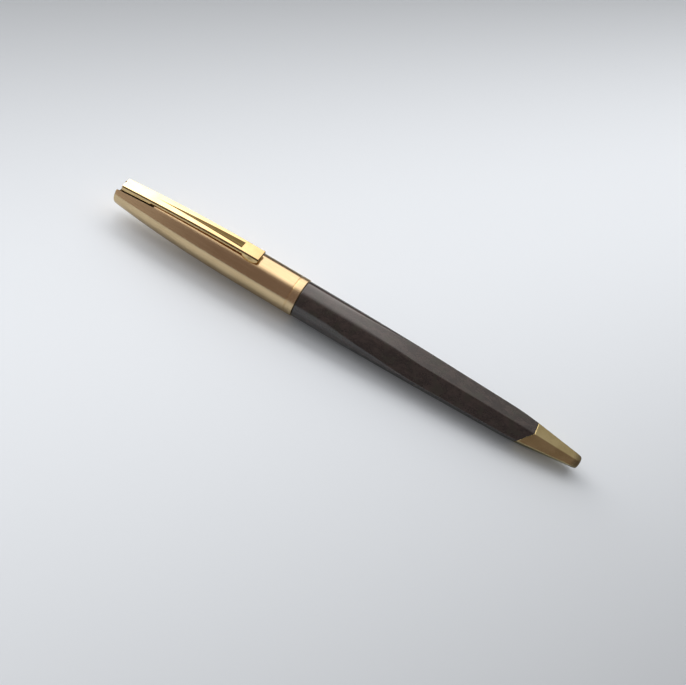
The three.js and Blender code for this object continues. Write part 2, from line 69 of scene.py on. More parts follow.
def makeCamera(p):
    eye = penMatrix @ Vector(p["place"])
    ahead = (penMatrix @ Vector(p["target"]) - eye).normalized()
    penUp = (penTurn @ Vector((0, 0, 1))).normalized()
    side = ahead.cross(penUp).normalized()
    up = side.cross(ahead)
    roll = math.radians(p["rollDegrees"])
    right = math.cos(roll) * side + math.sin(roll) * up
    top = -math.sin(roll) * side + math.cos(roll) * up
    data = bpy.data.cameras.new("camera")
    data.sensor_width = p["sensorWidth"]
    data.lens = p["focalPixels"] / p["imageWidth"] * p["sensorWidth"]
    data.clip_start = 0.01
    data.clip_end = 20
    camera = bpy.data.objects.new("camera", data)
    turn = Matrix((right, top, -ahead)).transposed().to_4x4()
    camera.matrix_world = Matrix.Translation(eye) @ turn
    bpy.context.scene.collection.objects.link(camera)
    bpy.context.scene.camera = camera


makeCamera(cameraFit)
print("camera made")


# Mesh tools

def linkMesh(name, points, faces, sharpDegrees=35):
    mesh = bpy.data.meshes.new(name)
    mesh.from_pydata([tuple(p) for p in points], [], faces)
    work = bmesh.new()
    work.from_mesh(mesh)
    bmesh.ops.remove_doubles(work, verts=work.verts, dist=1e-4)  # poles of turned pieces
    bmesh.ops.recalc_face_normals(work, faces=work.faces)
    bmesh.ops.transform(work, matrix=penMatrix, verts=work.verts)
    work.to_mesh(mesh)
    work.free()
    mesh.polygons.foreach_set("use_smooth", [True] * len(mesh.polygons))
    mesh.set_sharp_from_angle(angle=math.radians(sharpDegrees))
    piece = bpy.data.objects.new(name, mesh)
    bpy.context.scene.collection.objects.link(piece)
    return piece


def gridMesh(name, grid, wrapRows=False, fillEnds=False, sharpDegrees=35):
    # Rows of points that each go round the pen, joined into one skin
    rows, columns = grid.shape[:2]
    faces = []
    for i in range(rows if wrapRows else rows - 1):
        below = i * columns
        above = ((i + 1) % rows) * columns
        for j in range(columns):
            k = (j + 1) % columns
            faces.append((below + j, below + k, above + k, above + j))
    if fillEnds:
        faces.append(tuple(range(columns)))
        faces.append(tuple(range((rows - 1) * columns, rows * columns)))
    return linkMesh(name, grid.reshape(-1, 3), faces, sharpDegrees)


def rounded(outline, closed=False, steps=5):
    # Points (a, b, fillet) with each filleted corner as a short curve of steps + 1 points
    points = []
    count = len(outline)
    for i, (a, b, fillet) in enumerate(outline):
        corner = np.array((a, b), float)
        atEnd = not closed and i in (0, count - 1)
        if fillet == 0 or atEnd:
            points.append(corner)
            continue
        before = np.array(outline[i - 1][:2], float) - corner
        after = np.array(outline[(i + 1) % count][:2], float) - corner
        lengths = (np.linalg.norm(before) + 1e-9, np.linalg.norm(after) + 1e-9)
        cosine = np.clip(before @ after / lengths[0] / lengths[1], -1, 1)
        reach = fillet / max(math.tan(math.acos(cosine) / 2), 1e-3)
        reach = min(reach, 0.45 * min(lengths))
        start = corner + before / lengths[0] * reach
        end = corner + after / lengths[1] * reach
        for s in np.linspace(0, 1, steps + 1):
            points.append((1 - s) ** 2 * start + 2 * s * (1 - s) * corner + s * s * end)
    return np.array(points)


def turnedGrid(profile, segments):
    # A profile of (station, radius) points turned about the pen's axis
    angles = np.linspace(0, 2 * math.pi, segments, endpoint=False)
    stations = np.repeat(profile[:, :1], segments, axis=1)
    return np.stack((stations, profile[:, 1:] * np.sin(angles), profile[:, 1:] * np.cos(angles)), axis=2)


def applyModifiers(piece):
    bpy.context.view_layer.update()
    graph = bpy.context.evaluated_depsgraph_get()
    mesh = bpy.data.meshes.new_from_object(piece.evaluated_get(graph))
    piece.modifiers.clear()
    piece.data = mesh


# Shader tools

class Wire:
    # A socket that Python sums work on

    def __init__(self, maker, socket):
        self.maker = maker
        self.socket = socket

    def maths(self, operation, first, second=0.0):
        return self.maker.maths(operation, first, second)

    def __add__(self, other):
        return self.maths("ADD", self, other)

    def __radd__(self, other):
        return self.maths("ADD", other, self)

    def __sub__(self, other):
        return self.maths("SUBTRACT", self, other)

    def __rsub__(self, other):
        return self.maths("SUBTRACT", other, self)

    def __mul__(self, other):
        return self.maths("MULTIPLY", self, other)

    def __rmul__(self, other):
        return self.maths("MULTIPLY", other, self)

    def __truediv__(self, other):
        return self.maths("DIVIDE", self, other)

    def __pow__(self, other):
        return self.maths("POWER", self, other)

    def __abs__(self):
        return self.maths("ABSOLUTE", self)


class Maker:
    # Adds nodes to one tree

    def __init__(self, tree):
        self.tree = tree
        tree.nodes.clear()

    def add(self, kind, settings=None, sockets=None, output=0):
        node = self.tree.nodes.new(kind)
        for key, value in (settings or {}).items():
            if key == "stops":
                self.setStops(node.color_ramp, value)
            else:
                setattr(node, key, value)
        for key, value in (sockets or {}).items():
            if isinstance(value, Wire):
                self.tree.links.new(value.socket, node.inputs[key])
            else:
                node.inputs[key].default_value = value
        if not node.outputs:
            return node
        return Wire(self, node.outputs[output])

    def maths(self, operation, first, second):
        return self.add("ShaderNodeMath", {"operation": operation}, {0: first, 1: second})

    def setStops(self, ramp, stops):
        while len(ramp.elements) < len(stops):
            ramp.elements.new(0.5)
        for element, (position, colour) in zip(ramp.elements, stops):
            element.position = position
            element.color = (*colour, 1)

    def penSpace(self):
        # Object coordinates turned into the pen frame, in mm
        place = self.add("ShaderNodeTexCoord", output=3)
        sockets = {
            "Vector": place,
            "Location": penOrigin,
            "Rotation": (0, penLean, 0),
            "Scale": (mm, mm, mm),
        }
        return self.add("ShaderNodeMapping", {"vector_type": "TEXTURE"}, sockets)

    def split(self, vector):
        return [self.add("ShaderNodeSeparateXYZ", sockets={0: vector}, output=k) for k in range(3)]

    def stretched(self, place, scale):
        return self.add("ShaderNodeVectorMath", {"operation": "MULTIPLY"}, {0: place, 1: scale})

    def noise(self, place, scale, detail=3.0, roughness=0.5):
        sockets = {"Vector": place, "Scale": scale, "Detail": detail, "Roughness": roughness}
        return self.add("ShaderNodeTexNoise", sockets=sockets)

    def ranged(self, value, fromLow, fromHigh, toLow, toHigh, smooth=True):
        settings = {"interpolation_type": "SMOOTHSTEP" if smooth else "LINEAR"}
        sockets = {0: value, 1: fromLow, 2: fromHigh, 3: toLow, 4: toHigh}
        return self.add("ShaderNodeMapRange", settings, sockets)

    def mixed(self, factor, first, second, blend="MIX"):
        settings = {"data_type": "RGBA", "blend_type": blend}
        sockets = {0: factor, 6: padded(first), 7: padded(second)}
        return self.add("ShaderNodeMix", settings, sockets, output=2)

    def bump(self, height, strength, distance):
        sockets = {"Height": height, "Strength": strength, "Distance": distance}
        return self.add("ShaderNodeBump", sockets=sockets)


def padded(colour):
    return colour if isinstance(colour, Wire) else (*colour, 1)


def newMaterial(name):
    material = bpy.data.materials.new(name)
    material.use_nodes = True
    return material, Maker(material.node_tree)


def finishMaterial(maker, sockets):
    surface = maker.add("ShaderNodeBsdfPrincipled", sockets=sockets)
    maker.add("ShaderNodeOutputMaterial", sockets={"Surface": surface})


def wear(piece, material):
    piece.data.materials.clear()
    piece.data.materials.append(material)


# Sizes of the clip, which the finishes also need

clip = {
    "start": 1.45,
    "end": 41.75,
    "rootWidth": 3.55,
    "endWidth": 4.1,
    "rootHeight": 4.32,
    "rise": 4.41,
    "bow": 2.14,
    "plate": 0.7,
    "sheet": 0.5,
    "rootLength": 8.75,
    "rootFloor": 1.6,
    "slotEnd": 11.35,
    "sideDepth": 0.9,
    "footLength": 4.6,
    "footDepth": 2.0,
    "footBulge": 0.3,
    "footGap": 0.06,
    "chamfer": 0.3,
    "endRound": 0.12,
    "grooveStart": 11.3,
    "grooveEnd": 36.4,
    "grooveWidth": 2.1,
    "grooveDepth": 0.42,
    "grooveFloor": 0.12,  # share of the trough's width that is flat
    "stationStep": 0.2,
}


def along(station, p=clip):
    return (station - p["start"]) / (p["end"] - p["start"])


def clipHeight(station, p=clip):
    t = along(station)
    return p["rootHeight"] + p["rise"] * t - p["bow"] * t * t


def clipWidth(spread, p=clip):
    # Spread is the square root of the share along the clip
    return p["rootWidth"] + (p["endWidth"] - p["rootWidth"]) * spread


# Materials of the outside

brushedGoldLook = {
    "colour": (0.90, 0.70, 0.42),
    "shade": (0.80, 0.61, 0.35),
    "roughness": (0.13, 0.22),
    "streaks": (0.05, 5.0, 5.0),  # per mm, along and across
    "fineStreaks": (0.15, 16.0, 16.0),
    "cloud": 0.12,
    "bump": 0.18,
    "bumpDepth": 0.00002,
    "bandStart": 52.75,  # the plainer band before the lip
    "bandRoughness": 0.26,
    # painted shade inside the clip's slot, together with a rougher finish
    "slotPaintedShade": (0.07, 0.045, 0.02),
    "slotRoughness": 0.6,
    "slotWall": (0.25, 0.29),  # past the clip's side
    "slotEnd": (0.02, 0.05),  # past the slot's inner end
    "slotFloor": (0.70, 0.74),
}


def slotShadePlaces(m, place, p):
    # Painted shade: the walls and the floor of the clip's slot in the cap, darkened where shade falls
    station, side, height = m.split(place)
    half = clipWidth(along(station) ** 0.5) * 0.5
    inside = m.ranged(abs(side) - half, *p["slotWall"], 1.0, 0.0)
    inside = inside * m.ranged(station - clip["slotEnd"], *p["slotEnd"], 1.0, 0.0)
    return inside * m.ranged(height, *p["slotFloor"], 0.0, 1.0)


def makeBrushedGold(p):
    material, m = newMaterial("brushed gold plate")
    place = m.penSpace()
    broad = m.noise(m.stretched(place, p["streaks"]), 1.0, 2.0)
    fine = m.noise(m.stretched(place, p["fineStreaks"]), 1.0, 2.0)
    cloud = m.noise(place, p["cloud"])
    station = m.split(place)[0]
    brushed = m.ranged(station, p["bandStart"] - 0.05, p["bandStart"] + 0.05, 1.0, 0.0)
    tone = m.mixed(m.ranged(broad * 0.6 + cloud * 0.4, 0.35, 0.65, 0.0, 1.0), p["shade"], p["colour"])
    rough = m.ranged(fine, 0.3, 0.7, *p["roughness"])
    roughness = rough * brushed + p["bandRoughness"] * (1 - brushed)
    height = (broad * 0.5 + fine * 0.5) * brushed
    # the slot's walls and floor take the painted shade colour and a rougher finish
    inside = slotShadePlaces(m, place, p)
    roughness = roughness + inside * (p["slotRoughness"] - roughness)
    finishMaterial(m, {
        "Base Color": m.mixed(inside, tone, p["slotPaintedShade"]),
        "Metallic": 1.0,
        "Roughness": roughness,
        "Normal": m.bump(height, p["bump"], p["bumpDepth"]),
    })
    return material


polishedGoldLook = {
    "colour": (0.93, 0.70, 0.36),
    "haze": (0.86, 0.62, 0.30),
    "roughness": (0.07, 0.14),
    "scratches": (0.1, 9.0, 9.0),
    "cloud": 0.3,
    "bump": 0.05,
    "bumpDepth": 0.00001,
    "darkening": (0.19, 0.14, 0.055),  # darker colour for the floor of the trough and the cut ends, and painted shade on the bevelled long edges
    "dullRoughness": 0.42,
}


def makePolishedGold(p, name, darkPlaces):
    material, m = newMaterial(name)
    place = m.penSpace()
    scratch = m.noise(m.stretched(place, p["scratches"]), 1.0)
    cloud = m.noise(place, p["cloud"])
    bright = m.mixed(m.ranged(cloud, 0.35, 0.7, 0.0, 1.0), p["colour"], p["haze"])
    smooth = m.ranged(scratch * 0.5 + cloud * 0.5, 0.35, 0.65, *p["roughness"])
    # the darkening mask; on the clip it holds painted shade along the long edges
    darkening = darkPlaces(m, place)
    finishMaterial(m, {
        "Base Color": m.mixed(darkening, bright, p["darkening"]),
        "Metallic": 1.0,
        "Roughness": smooth + darkening * (p["dullRoughness"] - smooth),
        "Normal": m.bump(scratch, p["bump"], p["bumpDepth"]),
    })
    return material


def shadeAndDullOnClip(m, place):
    # The wedge pressed into the clip's top face and its cut ends, darker and duller, and painted shade on its
    # bevelled long edges
    p = clip
    station, side, height = m.split(place)
    share = (station - p["grooveStart"]) / (p["grooveEnd"] - p["grooveStart"])
    ending = m.ranged(station, p["grooveEnd"] - 0.02, p["grooveEnd"] + 0.02, 1.0, 0.0)
    trough = m.ranged(share * (p["grooveWidth"] / 2) - abs(side), -0.05, 0.04, 0.0, 1.0) * ending
    half = clipWidth(along(station) ** 0.5) * 0.5
    below = clipHeight(station) - height
    # painted shade: the chamfers along the long edges are darkened into a shadow line
    edge = m.ranged(abs(side) - half, -0.8 * p["chamfer"], -0.5 * p["chamfer"], 0.0, 1.0)
    edge = edge * m.ranged(below, p["chamfer"], 1.25 * p["chamfer"], 1.0, 0.0)
    cut = m.ranged(station, p["end"] - 0.03, p["end"] - 0.01, 0.0, 1.0)
    rear = m.ranged(station, p["start"] + 0.05, p["start"] + 0.12, 1.0, 0.0)
    return m.maths("MAXIMUM", m.maths("MAXIMUM", trough, edge), m.maths("MAXIMUM", cut, rear))


noseGoldLook = {
    "colour": (0.80, 0.68, 0.36),
    "haze": (0.68, 0.56, 0.28),
    "roughness": (0.10, 0.17),
    "scratches": (0.25, 7.0, 7.0),
    "cloud": 0.3,
    "bump": 0.10,
    "bumpDepth": 0.00001,
    "darkening": (0.16, 0.12, 0.07),
    "dullRoughness": 0.4,
    "darkeningStations": (132.6, 134.9),
    "endDarkening": 0.8,
}


def darkerNoseEnd(m, place):
    # The end of the nose, darker and duller round the refill's hole
    return m.ranged(m.split(place)[0], *noseGoldLook["darkeningStations"], 0.0, noseGoldLook["endDarkening"])


lacquerLook = {
    "dark": (0.030, 0.023, 0.020),
    "warm": (0.065, 0.046, 0.039),
    "moss": (0.042, 0.039, 0.028),
    "roughness": (0.10, 0.20),
    "mottle": 0.55,  # per mm
    "tint": 0.28,
    "grain": 3.5,
    "bump": 0.04,
    "bumpDepth": 0.00005,
}


def makeLacquer(p):
    material, m = newMaterial("brown lacquer")
    place = m.penSpace()
    mottle = m.noise(m.stretched(place, (0.6, 1.0, 1.0)), p["mottle"], 4.0, 0.6)
    grain = m.noise(place, p["grain"])
    tone = m.ranged(mottle * 0.75 + grain * 0.25, 0.38, 0.66, 0.0, 1.0)
    tint = m.ranged(m.noise(place, p["tint"]), 0.48, 0.66, 0.0, 0.8)
    finishMaterial(m, {
        "Base Color": m.mixed(tint, m.mixed(tone, p["dark"], p["warm"]), p["moss"]),
        "Roughness": m.ranged(grain, 0.3, 0.7, *p["roughness"]),
        "IOR": 1.56,
        "Coat Weight": 1.0,
        "Coat Roughness": 0.06,
        "Normal": m.bump(grain * 0.6 + mottle * 0.4, p["bump"], p["bumpDepth"]),
    })
    return material


brushedGold = makeBrushedGold(brushedGoldLook)
polishedGold = makePolishedGold(polishedGoldLook, "polished gold plate", shadeAndDullOnClip)
noseGold = makePolishedGold(noseGoldLook, "nose gold plate", darkerNoseEnd)
brownLacquer = makeLacquer(lacquerLook)
print("outside materials made")


# Cap

cap = {
    "lipRadius": 5.2,
    "endRadius": 3.2,
    "ogiveLength": 42.0,
    "ogivePower": 2.4,
    "endRound": 0.6,
    "wall": 0.6,
    "endWall": 1.6,
    "bore": 4.25,
    "boreStart": 20.0,
    "ringInset": 2.2,
    "ringWidth": 0.36,
    "ringDepth": 0.12,
    "lipRound": 0.12,
    "slotGap": 0.22,
    "slotRunOut": 1.0,
    "slotFloor": 0.75,
    "segments": 288,
    "stations": 90,
}


def capRadius(station, p=cap):
    left = np.maximum(0, 1 - np.asarray(station, float) / p["ogiveLength"])
    return p["lipRadius"] - (p["lipRadius"] - p["endRadius"]) * left ** p["ogivePower"]


def capProfile(p):
    ring = capLength - p["ringInset"]
    half = p["ringWidth"] / 2
    outline = [(0, 0, 0), (0, capRadius(0) - 0.02, p["endRound"])]
    for station in np.linspace(1.2, p["ogiveLength"], p["stations"]):
        outline.append((station, capRadius(station), 0))
    lip = p["lipRadius"]
    outline += [
        (ring - half, lip, 0.04),
        (ring - half * 0.5, lip - p["ringDepth"], 0.04),
        (ring + half * 0.5, lip - p["ringDepth"], 0.04),
        (ring + half, lip, 0.04),
        (capLength, lip, p["lipRound"]),
        (capLength, p["bore"], 0.1),
        (p["boreStart"], p["bore"], 0),
    ]
    for station in np.linspace(p["boreStart"], p["endWall"], 12):
        outline.append((station, capRadius(station) - p["wall"], 0))
    outline.append((p["endWall"], 0, 0))
    return rounded(outline, steps=6)


def widthAt(station):
    return clipWidth(math.sqrt(max(along(station), 0)))


def makeCap(p):
    shell = gridMesh("capShell", turnedGrid(capProfile(p), p["segments"]), sharpDegrees=30)
    places = np.linspace(-p["slotRunOut"], clip["slotEnd"], 14)
    side = [(s, widthAt(s) / 2 + p["slotGap"]) for s in places]
    outline = [(s, -w) for s, w in side] + [(s, w) for s, w in reversed(side)]
    grid = np.array([[(s, w, z) for s, w in outline] for z in (p["slotFloor"], 8.0)])
    cutter = gridMesh("slotCutter", grid, fillEnds=True)
    cut = shell.modifiers.new("slot", "BOOLEAN")
    cut.operation = "DIFFERENCE"
    cut.solver = "EXACT"
    cut.object = cutter
    applyModifiers(shell)
    bpy.data.objects.remove(cutter)
    shell.data.set_sharp_from_angle(angle=math.radians(30))
    wear(shell, brushedGold)
    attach(shell, "cap_body")
    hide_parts("cap_shell")


makeCap(cap)
print("cap made")


# Clip

def clipDrop(station, p):
    # How far the clip's sides hang below its top face
    fromEnd = (p["end"] - station) / p["footLength"]
    if fromEnd <= 1:
        return p["sideDepth"] + (p["footDepth"] - p["sideDepth"]) * math.sin(math.pi * fromEnd)
    rootEnd = p["start"] + p["rootLength"]
    if station <= rootEnd:
        return clipHeight(station) - p["rootFloor"]
    return p["sideDepth"]


def clipSection(station, inset, p):
    # The clip's outline across, as (side, height) points
    top = clipHeight(station) - inset
    half = widthAt(station) / 2 - inset
    bottom = clipHeight(station) - clipDrop(station, p) + inset
    hollow = p["start"] + p["sheet"] < station < p["end"] - p["footLength"]
    ceiling = clipHeight(station) - p["plate"] if hollow else bottom + 0.01
    inner = half - p["sheet"]
    grooved = p["grooveStart"] < station < p["grooveEnd"]
    share = min(max((station - p["grooveStart"]) / (p["grooveEnd"] - p["grooveStart"]), 0.02), 1)
    edge = p["grooveWidth"] / 2 * share
    foot = edge * p["grooveFloor"]
    floor = top - (p["grooveDepth"] * share if grooved else 0)
    fromEnd = (p["end"] - station) / p["footLength"]
    bulge = p["footBulge"] * math.sin(math.pi * fromEnd) ** 0.5 if 0 < fromEnd < 1 else 0
    waist = top - p["chamfer"] - 0.08
    lobe = max(waist - 0.65, bottom + 0.12)
    wide = half + bulge
    outline = [(-wide, bottom, 0.1), (-wide, lobe, 0.05), (-half, waist, 0.02)]
    outline += [(-half, top - p["chamfer"], 0.05), (p["chamfer"] - half, top, 0.05)]
    outline += [(-edge, top, 0.03), (-foot, floor, 0.03), (foot, floor, 0.03), (edge, top, 0.03)]
    outline += [(half - p["chamfer"], top, 0.05), (half, top - p["chamfer"], 0.05), (half, waist, 0.02)]
    outline += [(wide, lobe, 0.05), (wide, bottom, 0.1), (inner, bottom, 0.05)]
    outline += [(inner * share, ceiling, 0) for share in (1, 0.5, 0, -0.5, -1)]
    outline += [(-inner, bottom, 0.05)]
    points = rounded(outline, closed=True, steps=6)
    if station > p["slotEnd"]:
        reach = float(capRadius(station)) + p["footGap"]
        saddle = np.sqrt(np.maximum(reach ** 2 - points[:, 0] ** 2, 0))
        points[:, 1] = np.maximum(points[:, 1], saddle)
    return points


def makeClip(p):
    rootEnd = p["start"] + p["rootLength"]
    marks = [p["start"] + p["sheet"], rootEnd, p["grooveStart"], p["grooveEnd"]]
    marks.append(p["end"] - p["footLength"])
    stations = list(np.arange(p["start"] + p["endRound"], p["end"] - p["endRound"], p["stationStep"]))
    stations = [s for s in stations if all(abs(s - mark) > 0.06 for mark in marks)]
    stations += [mark + shift for mark in marks for shift in (-0.015, 0.015)]
    turns = np.linspace(0, math.pi / 2, 6)
    e = p["endRound"]
    rows = [(p["start"] + e * (1 - math.sin(a)), e * (1 - math.cos(a))) for a in reversed(turns)]
    rows += [(s, 0.0) for s in sorted(stations)]
    rows += [(p["end"] - e * (1 - math.sin(a)), e * (1 - math.cos(a))) for a in turns]
    rows.sort(key=lambda row: row[0])
    grid = []
    for station, inset in rows:
        section = clipSection(station, inset, p)
        grid.append([(station, side, height) for side, height in section])
    piece = gridMesh("clipBar", np.array(grid), fillEnds=True, sharpDegrees=38)
    wear(piece, polishedGold)
    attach(piece, "clip_body")
    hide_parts("clip")


makeClip(clip)
print("clip made")


# Barrel and nose share one six-sided form

body = {
    "barrelRadius": 5.0,
    "flatAtLip": 5.23,
    "flatSlope": 0.024,
    "noseSlope": 0.122,
    "bendStart": 113.65,
    "bendLength": 8.8,
    "noseStart": 119.15,
    "tongueLength": 2.65,
    "fadeStart": 134.2,
    "collarStart": 135.25,
    "penLength": 135.3,
    "barrelRidge": 0.42,  # rounding of the ridges
    "noseRidge": 0.3,
    "flatSteps": 9,
    "ridgeSteps": 12,
    "ridgeAngle": 23.0,
}


def flatHeight(station, p=body):
    x = np.asarray(station, float)
    plane = p["flatAtLip"] - p["flatSlope"] * (x - capLength)
    turn = p["noseSlope"] - p["flatSlope"]
    inBend = np.clip(x - p["bendStart"], 0, p["bendLength"])
    past = np.maximum(x - p["bendStart"] - p["bendLength"], 0)
    return plane - turn * inBend ** 2 / (2 * p["bendLength"]) - turn * past


def blankRadius(station, p=body):
    x = np.asarray(station, float)
    fade = np.clip((x - p["fadeStart"]) / (p["collarStart"] - p["fadeStart"]), 0, 1)
    corner = flatHeight(x) / math.cos(math.radians(30))
    shrunk = corner * (1 - fade) + flatHeight(x) * fade
    return np.where(x < p["fadeStart"], p["barrelRadius"], shrunk)


def sectionRadius(station, angle, ridge):
    # Distance from the axis to a hexagon cut on a round blank, with its corners rounded
    flat = flatHeight(station)
    blank = np.maximum(blankRadius(station), flat * 0 + 1e-6)
    folded = np.abs((np.degrees(angle) + 30) % 60 - 30)
    folded = np.radians(folded)
    inner = np.minimum(flat, blank) - ridge
    outer = blank - ridge
    roundSide = np.sqrt(np.maximum(outer ** 2 - inner ** 2, 0))
    cornerSide = np.minimum(inner * math.tan(math.radians(30)), roundSide)
    onFlat = np.tan(folded) * np.minimum(flat, blank) <= cornerSide
    across = np.cos(folded) * inner + np.sin(folded) * cornerSide
    spread = inner ** 2 + cornerSide ** 2
    onCorner = across + np.sqrt(np.maximum(ridge ** 2 - spread + across ** 2, 0))
    pastCorner = np.tan(folded) * inner > cornerSide
    isRound = cornerSide < inner * math.tan(math.radians(30)) - 1e-6
    reach = np.where(onFlat, np.minimum(flat, blank) / np.cos(folded), onCorner)
    return np.where(isRound & pastCorner, blank, reach)


def bodyAngles(p=body):
    # Angles from the clip's direction, close together at the ridges
    flat = list(np.linspace(0, p["ridgeAngle"], p["flatSteps"], endpoint=False))
    ridge = list(np.linspace(p["ridgeAngle"], 30, p["ridgeSteps"], endpoint=False))
    half = flat + ridge
    whole = half + [30] + [60 - a for a in reversed(half[1:])]
    return np.radians([a + 60 * k for k in range(6) for a in whole])


angles = bodyAngles()
seamSlope = body["tongueLength"] / float(flatHeight(body["noseStart"] + body["tongueLength"]))


def seamStation(radius):
    # Where the seam lies for points at this distance from the axis, one for each angle
    return body["noseStart"] + seamSlope * np.maximum(radius * np.cos(angles), 0)


def outerSeam(ridge):
    station = np.full(len(angles), body["noseStart"])
    for _ in range(12):
        station = seamStation(sectionRadius(station, angles, ridge))
    return station


def bodyRow(station, radius):
    station = np.broadcast_to(station, angles.shape)
    radius = np.broadcast_to(radius, angles.shape)
    return np.stack((station, radius * np.sin(angles), radius * np.cos(angles)), axis=1)


def edgeRows(station, direction, ridge, size, steps=5):
    # A rounded edge that turns from the end face at a station to the outside; direction points inwards
    rows = []
    for turn in np.linspace(0, math.pi / 2, steps):
        x = station + direction * size * (1 - math.cos(turn))
        rows.append(bodyRow(x, sectionRadius(x, angles, ridge) - size * (1 - math.sin(turn))))
    return rows


barrelShape = {
    "gap": 0.15,
    "edge": 0.14,
    "seamEdge": 0.05,
    "socketBore": 4.0,
    "socketEnd": 61.95,
    "bore": 3.15,
    "frontBoreStart": 112.43,
    "frontBore": 2.65,
    "straightEnd": 112.0,
    "stationStep": 0.5,
    "seamSteps": 18,
}


def makeBarrel(p):
    ridge = body["barrelRidge"]
    start = capLength + p["gap"]
    seam = outerSeam(ridge)
    rows = edgeRows(start, 1, ridge, p["edge"])
    for x in np.arange(start + p["edge"] + p["stationStep"], p["straightEnd"], p["stationStep"]):
        rows.append(bodyRow(x, sectionRadius(x, angles, ridge)))
    for share in np.linspace(0, 1, p["seamSteps"], endpoint=False):
        x = p["straightEnd"] + (seam - p["seamEdge"] - p["straightEnd"]) * share
        rows.append(bodyRow(x, sectionRadius(x, angles, ridge)))
    rows += reversed(edgeRows(seam, -1, ridge, p["seamEdge"]))
    rows.append(bodyRow(seamStation(p["frontBore"]), p["frontBore"]))
    rows.append(bodyRow(p["frontBoreStart"], p["frontBore"]))
    rows.append(bodyRow(p["frontBoreStart"], p["bore"]))
    rows.append(bodyRow(p["socketEnd"], p["bore"]))
    rows.append(bodyRow(p["socketEnd"], p["socketBore"]))
    rows.append(bodyRow(start, p["socketBore"]))
    piece = gridMesh("barrelShell", np.array(rows), wrapRows=True)
    wear(piece, brownLacquer)
    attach(piece, "barrel_body")
    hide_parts("barrel")


noseShape = {
    "gap": 0.12,
    "edge": 0.08,
    "endEdge": 0.3,
    "bore": 2.1,
    "spigot": 2.55,
    "spigotStart": 112.55,
    "mouth": 1.25,
    "mouthStart": 126.6,
    "mouthChamfer": 0.08,
    "steps": 50,
}


def makeNose(p):
    ridge = body["noseRidge"]
    seam = outerSeam(ridge) + p["gap"]
    end = body["penLength"]
    rows = edgeRows(seam, 1, ridge, p["edge"])
    for share in np.linspace(0, 1, p["steps"])[1:-1]:
        x = seam + p["edge"] + (end - p["endEdge"] - seam - p["edge"]) * share
        rows.append(bodyRow(x, sectionRadius(x, angles, ridge)))
    rows += reversed(edgeRows(np.full(len(angles), end), -1, ridge, p["endEdge"], 7))
    rows.append(bodyRow(end, p["mouth"] + p["mouthChamfer"]))
    rows.append(bodyRow(end - p["mouthChamfer"], p["mouth"]))
    rows.append(bodyRow(p["mouthStart"], p["mouth"]))
    rows.append(bodyRow(p["mouthStart"], p["bore"]))
    rows.append(bodyRow(p["spigotStart"], p["bore"]))
    rows.append(bodyRow(p["spigotStart"], p["spigot"]))
    rows.append(bodyRow(seamStation(p["spigot"]) + p["gap"], p["spigot"]))
    piece = gridMesh("noseShell", np.array(rows), wrapRows=True)
    wear(piece, noseGold)
    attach(piece, "barrel_body")
    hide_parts("nose_cone")


makeBarrel(barrelShape)
makeNose(noseShape)
print("barrel and nose made")


# Materials of the inner pieces

def makeTurnedMetal(p):
    # Fine turning marks round the axis over a faint tarnish
    material, m = newMaterial(p["name"])
    place = m.penSpace()
    marks = m.noise(m.stretched(place, (p["marks"], 0.2, 0.2)), 1.0, 2.0)
    tarnish = m.noise(place, 0.5, 4.0, 0.6)
    finishMaterial(m, {
        "Base Color": m.mixed(m.ranged(tarnish, 0.35, 0.7, 0.0, 1.0), p["colour"], p["shade"]),
        "Metallic": 1.0,
        "Roughness": m.ranged(marks * 0.5 + tarnish * 0.5, 0.35, 0.65, *p["roughness"]),
        "Normal": m.bump(marks, 0.15, 0.00002),
    })
    return material


def makeMoulded(p):
    # Fine moulded grain with slight clouding
    material, m = newMaterial(p["name"])
    place = m.penSpace()
    texture = m.noise(place, p["grain"], 4.0, 0.6)
    cloud = m.noise(place, 0.4)
    finishMaterial(m, {
        "Base Color": m.mixed(m.ranged(cloud, 0.35, 0.7, 0.0, 1.0), p["colour"], p["shade"]),
        "Roughness": m.ranged(texture, 0.3, 0.7, *p["roughness"]),
        "Normal": m.bump(texture, p["bump"], 0.00003),
    })
    return material


metalLooks = {
    "plain_brass": {
        "name": "turned brass",
        "colour": (0.62, 0.44, 0.19),
        "shade": (0.45, 0.30, 0.13),
        "roughness": (0.25, 0.42),
        "marks": 9.0,
    },
    "steel": {
        "name": "drawn steel",
        "colour": (0.58, 0.58, 0.60),
        "shade": (0.42, 0.42, 0.44),
        "roughness": (0.22, 0.38),
        "marks": 5.0,
    },
    "carbide": {
        "name": "ground carbide",
        "colour": (0.34, 0.35, 0.37),
        "shade": (0.24, 0.25, 0.27),
        "roughness": (0.18, 0.30),
        "marks": 20.0,
    },
}

mouldedLooks = {
    "white_plastic": {
        "name": "white acetal",
        "colour": (0.74, 0.74, 0.70),
        "shade": (0.62, 0.61, 0.55),
        "roughness": (0.35, 0.5),
        "grain": 4.0,
        "bump": 0.1,
    },
    "black_rubber": {
        "name": "black rubber",
        "colour": (0.020, 0.020, 0.021),
        "shade": (0.035, 0.034, 0.033),
        "roughness": (0.6, 0.8),
        "grain": 6.0,
        "bump": 0.3,
    },
    "blue_ink": {
        "name": "blue ink",
        "colour": (0.010, 0.018, 0.110),
        "shade": (0.016, 0.026, 0.160),
        "roughness": (0.3, 0.5),
        "grain": 2.0,
        "bump": 0.1,
    },
}

innerMaterials = {slot: makeTurnedMetal(look) for slot, look in metalLooks.items()}
innerMaterials.update({slot: makeMoulded(look) for slot, look in mouldedLooks.items()})

slotOfNode = {row["node"]: row["material_slot"] for row in frame["record"]["subparts"]}
for name, node in frame["nodes"].items():
    if slotOfNode[name] in innerMaterials:
        wear(node, innerMaterials[slotOfNode[name]])
print("inner pieces dressed")


# Table and light

